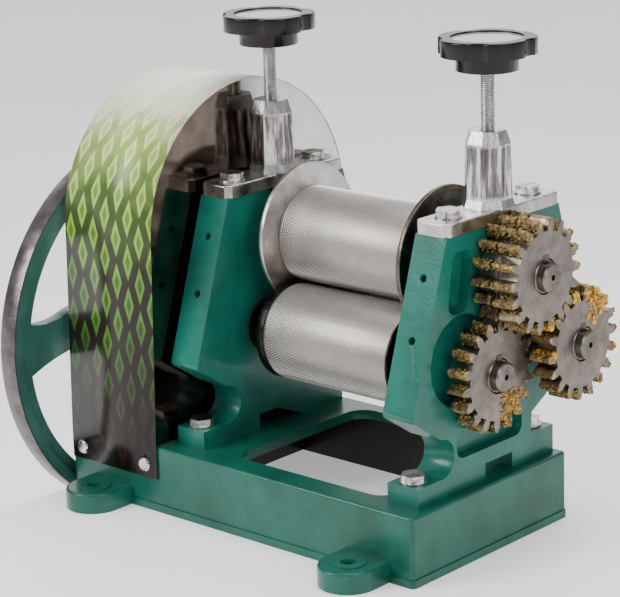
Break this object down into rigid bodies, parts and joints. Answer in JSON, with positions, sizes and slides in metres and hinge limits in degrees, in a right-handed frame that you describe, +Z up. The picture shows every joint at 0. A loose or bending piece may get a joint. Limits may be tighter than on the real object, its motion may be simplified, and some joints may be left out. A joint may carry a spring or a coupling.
{
  "type": "manual sugarcane juicer",
  "caption": "Hand-cranked cane press: three geared rollers between cast side frames on a box base, with a spoked hand wheel, a covered drive and pressure-screw knobs.",
  "frame": {"origin": "centre of the four base bolt holes, on the underside of the base", "axes": "+X along the rollers towards the open gears, -Y the front where cane is fed, +Z up"},
  "size_m": [0.5741, 0.35, 0.4726],
  "materials": {
    "base": "gloss enamel",
    "block_bush_left": "machined",
    "block_bush_right": "machined",
    "block_left": "machined",
    "block_right": "machined",
    "bush_back_left": "machined",
    "bush_back_right": "machined",
    "bush_front_left": "machined",
    "bush_front_right": "machined",
    "cap_bolts": "satin",
    "cap_left": "as cast, lightly polished",
    "cap_right": "as cast, lightly polished",
    "collar_left": "satin",
    "collar_right": "satin",
    "cover": "satin",
    "cover_screws": "polished",
    "crank_bushes": "machined",
    "crank_housing": "machined",
    "crank_shaft": "satin",
    "drive_gear": "machined",
    "flange_left": "satin",
    "flange_right": "satin",
    "flywheel": "gloss enamel",
    "foot_bolts": "satin",
    "frame_left": "gloss enamel",
    "frame_right": "gloss enamel",
    "gear_back": "machined",
    "gear_front": "machined",
    "gear_top": "machined",
    "handle_grip": "gloss",
    "handle_spindle": "satin",
    "housing_screws": "satin",
    "key_back": "satin",
    "key_front": "satin",
    "keys_crank": "satin",
    "keys_top": "satin",
    "knob_left": "gloss",
    "knob_plate_left": "polished",
    "knob_plate_right": "polished",
    "knob_right": "gloss",
    "pinion": "satin",
    "ring_back_left": "gloss enamel",
    "ring_back_right": "gloss enamel",
    "ring_front_left": "gloss enamel",
    "ring_front_right": "gloss enamel",
    "roller_back": "satin",
    "roller_front": "satin",
    "roller_top": "satin",
    "screw_left": "satin",
    "screw_right": "satin",
    "shaft_back": "satin",
    "shaft_front": "satin",
    "shaft_top": "satin",
    "spacer_back": "satin",
    "spindle_nut": "satin",
    "wheel_nut": "satin",
    "wheel_washer": "satin"
  },
  "bodies": {
    "frame": {"base": "base", "frame_left": "frame_left", "frame_right": "frame_right", "cap_left": "cap_left", "cap_right": "cap_right", "bush_front_left": "bush_front_left", "bush_front_right": "bush_front_right", "bush_back_left": "bush_back_left", "bush_back_right": "bush_back_right", "foot_bolts": "foot_bolts", "cap_bolts": "cap_bolts", "crank_housing": "crank_housing", "housing_screws": "housing_screws", "crank_bushes": "crank_bushes", "cover": "cover", "cover_screws": "cover_screws"},
    "top_carriage": {"block_left": "block_left", "block_right": "block_right", "block_bush_left": "block_bush_left", "block_bush_right": "block_bush_right"},
    "top_roller": {"shaft_top": "shaft_top", "roller_top": "roller_top", "flange_left": "flange_left", "flange_right": "flange_right", "collar_left": "collar_left", "collar_right": "collar_right", "gear_top": "gear_top", "drive_gear": "drive_gear", "keys_top": "keys_top"},
    "front_roller": {"shaft_front": "shaft_front", "roller_front": "roller_front", "ring_front_left": "ring_front_left", "ring_front_right": "ring_front_right", "gear_front": "gear_front", "key_front": "key_front"},
    "back_roller": {"shaft_back": "shaft_back", "roller_back": "roller_back", "ring_back_left": "ring_back_left", "ring_back_right": "ring_back_right", "spacer_back": "spacer_back", "gear_back": "gear_back", "key_back": "key_back"},
    "hand_wheel": {"crank_shaft": "crank_shaft", "pinion": "pinion", "keys_crank": "keys_crank", "flywheel": "flywheel", "wheel_washer": "wheel_washer", "wheel_nut": "wheel_nut", "handle_spindle": "handle_spindle", "spindle_nut": "spindle_nut"},
    "handle_grip": {"handle_grip": "handle_grip"},
    "screw_left": {"screw_left": "screw_left", "knob_left": "knob_left", "knob_plate_left": "knob_plate_left"},
    "screw_right": {"screw_right": "screw_right", "knob_right": "knob_right", "knob_plate_right": "knob_plate_right"}
  },
  "joints": [
    {"name": "top_lift", "type": "slide", "parent": "frame", "child": "top_carriage", "axis": [0, 0, 1], "range_m": [0, 0.0015]},
    {"name": "top_spin", "type": "hinge", "parent": "top_carriage", "child": "top_roller", "pos_m": [0, 0.034, 0.2355], "axis": [1, 0, 0], "continuous": true},
    {"name": "front_spin", "type": "hinge", "parent": "frame", "child": "front_roller", "pos_m": [0, 0.00099, 0.15501], "axis": [1, 0, 0], "continuous": true},
    {"name": "back_spin", "type": "hinge", "parent": "frame", "child": "back_roller", "pos_m": [0, 0.08624, 0.16593], "axis": [1, 0, 0], "continuous": true},
    {"name": "wheel_spin", "type": "hinge", "parent": "frame", "child": "hand_wheel", "pos_m": [0, 0.014, 0.12937], "axis": [1, 0, 0], "continuous": true},
    {"name": "grip_spin", "type": "hinge", "parent": "hand_wheel", "child": "handle_grip", "pos_m": [-0.25, 0.13089, 0.20821], "axis": [1, 0, 0], "continuous": true},
    {"name": "screw_left_turn", "type": "hinge", "parent": "top_carriage", "child": "screw_left", "pos_m": [-0.068, 0.034, 0.3], "axis": [0, 0, 1], "range_deg": [0, 308.57]},
    {"name": "screw_right_turn", "type": "hinge", "parent": "top_carriage", "child": "screw_right", "pos_m": [0.173, 0.034, 0.3], "axis": [0, 0, 1], "range_deg": [0, 308.57]}
  ],
  "couplings": [
    {"joint": "top_spin", "follows": "wheel_spin", "ratio": -0.28571},
    {"joint": "front_spin", "follows": "wheel_spin", "ratio": 0.28571},
    {"joint": "back_spin", "follows": "wheel_spin", "ratio": 0.28571},
    {"joint": "screw_left_turn", "follows": "top_lift", "rad_per_m": 3590.4},
    {"joint": "screw_right_turn", "follows": "top_lift", "rad_per_m": 3590.4}
  ]
}
